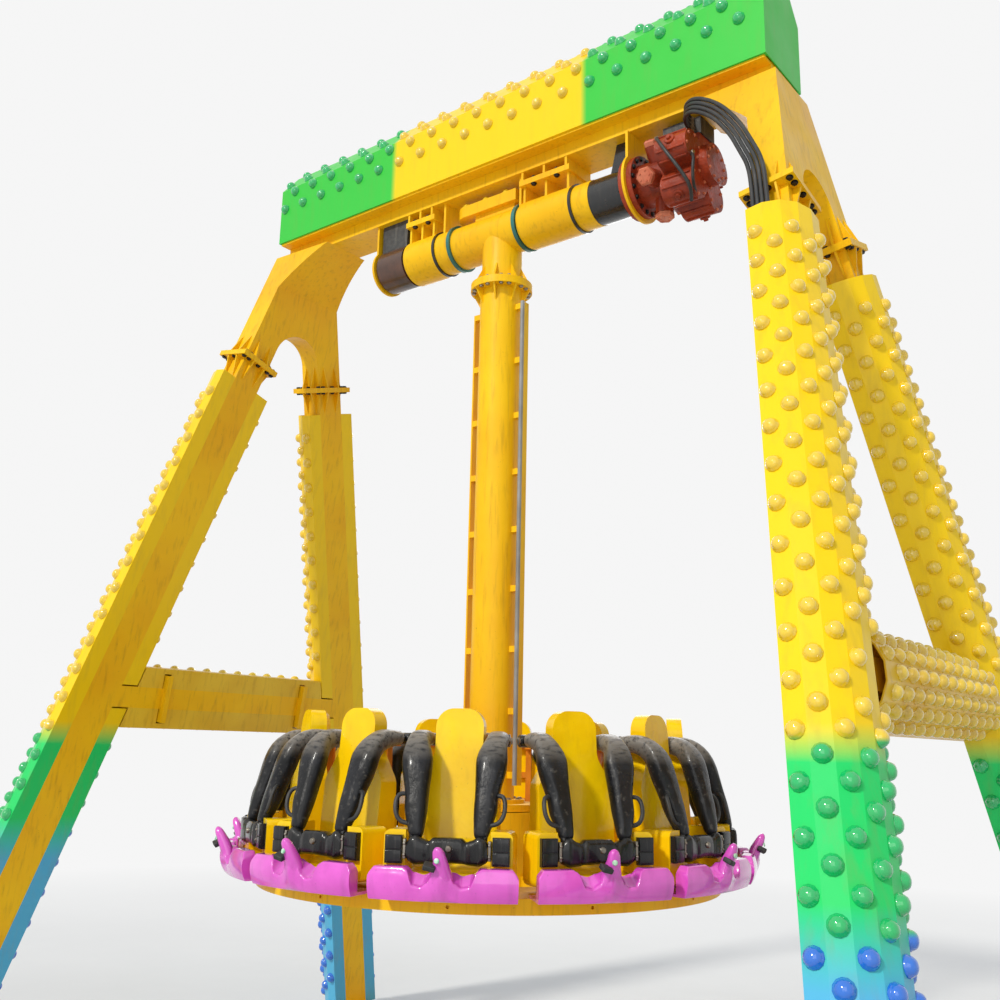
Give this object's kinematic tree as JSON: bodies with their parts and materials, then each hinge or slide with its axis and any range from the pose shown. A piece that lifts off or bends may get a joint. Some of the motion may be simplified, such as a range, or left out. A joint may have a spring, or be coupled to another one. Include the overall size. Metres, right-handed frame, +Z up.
{
  "type": "pendulum ride",
  "caption": "Fairground pendulum ride: an A-frame stand, a motor-driven swinging arm and a spinning gondola of harness seats.",
  "frame": {"origin": "on the ground, midway between the four feet, under the middle of the girder", "axes": "+X along the girder towards the drive motor, +Y to the back, +Z up"},
  "size_m": [6.7766, 4.396, 6.95],
  "materials": {
    "amber_steel": "semi-gloss, worn",
    "painted_cover": "gloss, in zones",
    "black_paint": "gloss",
    "bronze_paint": "semi-gloss",
    "grey_box": "hammered",
    "red_motor": "gloss, dusty",
    "hose_rubber": "matte",
    "teal_ring": "gloss",
    "conduit_grey": "matte",
    "orange_frame": "gloss",
    "yellow_seat": "gloss",
    "black_plastic": "satin",
    "magenta_gloss": "high gloss",
    "black_pad": "worn, padded"
  },
  "bodies": {
    "frame": {"top_girder": "amber_steel", "head_left": "amber_steel", "head_right": "amber_steel", "leg_front_left": "amber_steel", "leg_back_left": "amber_steel", "leg_front_right": "amber_steel", "leg_back_right": "amber_steel", "brace_left": "amber_steel", "brace_right": "amber_steel", "leg_cover_front_left": "painted_cover", "leg_cover_back_left": "painted_cover", "leg_cover_front_right": "painted_cover", "leg_cover_back_right": "painted_cover", "brace_cover_left": "painted_cover", "brace_cover_right": "painted_cover", "beam_cover_left": "painted_cover", "beam_cover_middle": "painted_cover", "beam_cover_right": "painted_cover", "shaft_hangers": "amber_steel", "bearing_left": "amber_steel", "bearing_right": "amber_steel", "gland_rings": "black_paint", "drive_coupling": "black_paint", "motor_block": "black_paint", "hose_bulkhead": "black_paint", "slip_ring": "bronze_paint", "junction_box": "grey_box", "star_motor": "red_motor", "hose_1": "hose_rubber", "hose_2": "hose_rubber", "hose_3": "hose_rubber", "hose_4": "hose_rubber"},
    "pendulum": {"pivot_tee": "amber_steel", "light_tray": "amber_steel", "arm_tube": "amber_steel", "arm_rails": "amber_steel", "turntable_ring": "amber_steel", "seal_rings": "teal_ring", "arm_conduit": "conduit_grey"},
    "gondola": {"gondola_frame": "amber_steel", "seat_ladders": "orange_frame", "seat_shells": "yellow_seat", "side_housings": "yellow_seat", "latch_blocks": "black_plastic", "fairing_panels": "magenta_gloss"},
    "harness_01_body": {"harness_01": "black_pad"},
    "harness_02_body": {"harness_02": "black_pad"},
    "harness_03_body": {"harness_03": "black_pad"},
    "harness_04_body": {"harness_04": "black_pad"},
    "harness_05_body": {"harness_05": "black_pad"},
    "harness_06_body": {"harness_06": "black_pad"},
    "harness_07_body": {"harness_07": "black_pad"},
    "harness_08_body": {"harness_08": "black_pad"},
    "harness_09_body": {"harness_09": "black_pad"},
    "harness_10_body": {"harness_10": "black_pad"},
    "harness_11_body": {"harness_11": "black_pad"},
    "harness_12_body": {"harness_12": "black_pad"}
  },
  "joints": [
    {"name": "arm_swing", "type": "hinge", "parent": "frame", "child": "pendulum", "pos_m": [0, 0, 5.854], "axis": [1, 0, 0], "range_deg": [-60, 60]},
    {"name": "gondola_spin", "type": "hinge", "parent": "pendulum", "child": "gondola", "pos_m": [0, 0, 1.94], "axis": [0, 0, 1], "continuous": true},
    {"name": "harness_01_lift", "type": "hinge", "parent": "gondola", "child": "harness_01_body", "pos_m": [1.025, 0, 2.35], "axis": [0, -1, 0], "range_deg": [0, 80]},
    {"name": "harness_02_lift", "type": "hinge", "parent": "gondola", "child": "harness_02_body", "pos_m": [0.88768, 0.5125, 2.35], "axis": [0.5, -0.866, 0], "range_deg": [0, 80]},
    {"name": "harness_03_lift", "type": "hinge", "parent": "gondola", "child": "harness_03_body", "pos_m": [0.5125, 0.88768, 2.35], "axis": [0.866, -0.5, 0], "range_deg": [0, 80]},
    {"name": "harness_04_lift", "type": "hinge", "parent": "gondola", "child": "harness_04_body", "pos_m": [0, 1.025, 2.35], "axis": [1, 0, 0], "range_deg": [0, 80]},
    {"name": "harness_05_lift", "type": "hinge", "parent": "gondola", "child": "harness_05_body", "pos_m": [-0.5125, 0.88768, 2.35], "axis": [0.866, 0.5, 0], "range_deg": [0, 80]},
    {"name": "harness_06_lift", "type": "hinge", "parent": "gondola", "child": "harness_06_body", "pos_m": [-0.88768, 0.5125, 2.35], "axis": [0.5, 0.866, 0], "range_deg": [0, 80]},
    {"name": "harness_07_lift", "type": "hinge", "parent": "gondola", "child": "harness_07_body", "pos_m": [-1.025, 0, 2.35], "axis": [0, 1, 0], "range_deg": [0, 80]},
    {"name": "harness_08_lift", "type": "hinge", "parent": "gondola", "child": "harness_08_body", "pos_m": [-0.88768, -0.5125, 2.35], "axis": [-0.5, 0.866, 0], "range_deg": [0, 80]},
    {"name": "harness_09_lift", "type": "hinge", "parent": "gondola", "child": "harness_09_body", "pos_m": [-0.5125, -0.88768, 2.35], "axis": [-0.866, 0.5, 0], "range_deg": [0, 80]},
    {"name": "harness_10_lift", "type": "hinge", "parent": "gondola", "child": "harness_10_body", "pos_m": [0, -1.025, 2.35], "axis": [-1, 0, 0], "range_deg": [0, 80]},
    {"name": "harness_11_lift", "type": "hinge", "parent": "gondola", "child": "harness_11_body", "pos_m": [0.5125, -0.88768, 2.35], "axis": [-0.866, -0.5, 0], "range_deg": [0, 80]},
    {"name": "harness_12_lift", "type": "hinge", "parent": "gondola", "child": "harness_12_body", "pos_m": [0.88768, -0.5125, 2.35], "axis": [-0.5, -0.866, 0], "range_deg": [0, 80]}
  ]
}
